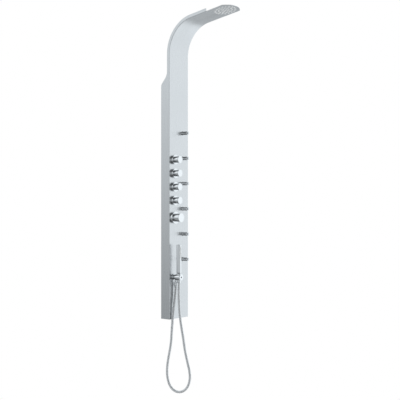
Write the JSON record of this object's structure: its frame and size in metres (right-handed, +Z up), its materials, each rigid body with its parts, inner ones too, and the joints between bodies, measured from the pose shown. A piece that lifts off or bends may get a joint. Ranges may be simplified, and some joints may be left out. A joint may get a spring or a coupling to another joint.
{
  "type": "rainfall shower column",
  "caption": "Wall-hung folded steel shower column with overhead rain head, turning controls, swivelling body jets and a lift-out stick hand shower on a hose.",
  "frame": {"origin": "centre of the upper wall bracket's back face, on the wall", "axes": "+X to the right as one faces the column, +Y into the wall, +Z up"},
  "size_m": [0.14, 0.4109, 1.8683],
  "materials": {
    "brushed_steel": "stainless sheet brushed along its length",
    "chrome": "polished chrome plate",
    "galvanised": "dull zinc plate",
    "brass": "cast and machined",
    "silicone": "cloudy white silicone",
    "plastic": "moulded"
  },
  "bodies": {
    "column": {"column_shell": "brushed_steel", "neck_cover": "brushed_steel", "bottom_cap": "brushed_steel", "upper_wall_bracket": "galvanised", "lower_wall_bracket": "galvanised", "upper_hanger_bar": "galvanised", "lower_hanger_bar": "galvanised", "nozzle_mat": "silicone", "head_lid": "brushed_steel", "head_elbow": "chrome", "riser_pipe": "chrome", "jet_pipe": "brass", "jet_feed": "chrome", "hand_feed": "chrome", "valve_manifold": "brass", "hot_inlet": "brass", "cold_inlet": "brass", "holder_arm": "chrome", "holder_cap": "chrome", "holder_screw": "galvanised", "hose_nut": "chrome", "hose": "chrome", "valve_1_cartridge": "plastic", "valve_1_rose": "chrome", "valve_2_cartridge": "plastic", "valve_2_rose": "chrome", "valve_3_cartridge": "plastic", "valve_3_rose": "chrome", "valve_4_cartridge": "plastic", "valve_4_rose": "chrome", "thermostat_cartridge": "plastic", "thermostat_rose": "chrome", "jet_1_housing": "chrome", "jet_2_housing": "chrome", "jet_3_housing": "chrome", "jet_4_housing": "chrome", "jet_5_housing": "chrome", "jet_6_housing": "chrome"},
    "valve_1_control": {"valve_1_spindle": "brass", "valve_1_knob": "chrome"},
    "valve_2_control": {"valve_2_spindle": "brass", "valve_2_knob": "chrome"},
    "valve_3_control": {"valve_3_spindle": "brass", "valve_3_knob": "chrome"},
    "valve_4_control": {"valve_4_spindle": "brass", "valve_4_knob": "chrome"},
    "thermostat_control": {"thermostat_spindle": "brass", "thermostat_knob": "chrome"},
    "jet_1_swivel": {"jet_1_nozzle": "chrome"},
    "jet_2_swivel": {"jet_2_nozzle": "chrome"},
    "jet_3_swivel": {"jet_3_nozzle": "chrome"},
    "jet_4_swivel": {"jet_4_nozzle": "chrome"},
    "jet_5_swivel": {"jet_5_nozzle": "chrome"},
    "jet_6_swivel": {"jet_6_nozzle": "chrome"},
    "hand_shower": {"hand_shower_body": "chrome", "spray_strip": "silicone", "cone_nut": "chrome"}
  },
  "joints": [
    {"name": "valve_1_turn", "type": "hinge", "parent": "column", "child": "valve_1_control", "pos_m": [-0.035, -0.055, -0.293], "axis": [0, -1, 0], "range_deg": [0, 90]},
    {"name": "valve_2_turn", "type": "hinge", "parent": "column", "child": "valve_2_control", "pos_m": [-0.035, -0.055, -0.36], "axis": [0, -1, 0], "range_deg": [0, 90]},
    {"name": "valve_3_turn", "type": "hinge", "parent": "column", "child": "valve_3_control", "pos_m": [-0.035, -0.055, -0.427], "axis": [0, -1, 0], "range_deg": [0, 90]},
    {"name": "valve_4_turn", "type": "hinge", "parent": "column", "child": "valve_4_control", "pos_m": [-0.035, -0.055, -0.494], "axis": [0, -1, 0], "range_deg": [0, 90]},
    {"name": "thermostat_turn", "type": "hinge", "parent": "column", "child": "thermostat_control", "pos_m": [-0.035, -0.055, -0.579], "axis": [0, -1, 0], "range_deg": [-135, 135]},
    {"name": "jet_1_tilt", "type": "hinge", "parent": "column", "child": "jet_1_swivel", "pos_m": [0.035, -0.081, -0.158], "axis": [1, 0, 0], "range_deg": [-15, 15]},
    {"name": "jet_2_tilt", "type": "hinge", "parent": "column", "child": "jet_2_swivel", "pos_m": [0.035, -0.081, -0.284], "axis": [1, 0, 0], "range_deg": [-15, 15]},
    {"name": "jet_3_tilt", "type": "hinge", "parent": "column", "child": "jet_3_swivel", "pos_m": [0.035, -0.081, -0.41], "axis": [1, 0, 0], "range_deg": [-15, 15]},
    {"name": "jet_4_tilt", "type": "hinge", "parent": "column", "child": "jet_4_swivel", "pos_m": [0.035, -0.081, -0.536], "axis": [1, 0, 0], "range_deg": [-15, 15]},
    {"name": "jet_5_tilt", "type": "hinge", "parent": "column", "child": "jet_5_swivel", "pos_m": [0.035, -0.081, -0.662], "axis": [1, 0, 0], "range_deg": [-15, 15]},
    {"name": "jet_6_tilt", "type": "hinge", "parent": "column", "child": "jet_6_swivel", "pos_m": [0.035, -0.081, -0.788], "axis": [1, 0, 0], "range_deg": [-15, 15]},
    {"name": "hand_shower_lift", "type": "slide", "parent": "column", "child": "hand_shower", "axis": [0, 0, 1], "range_m": [0, 0.06]}
  ]
}
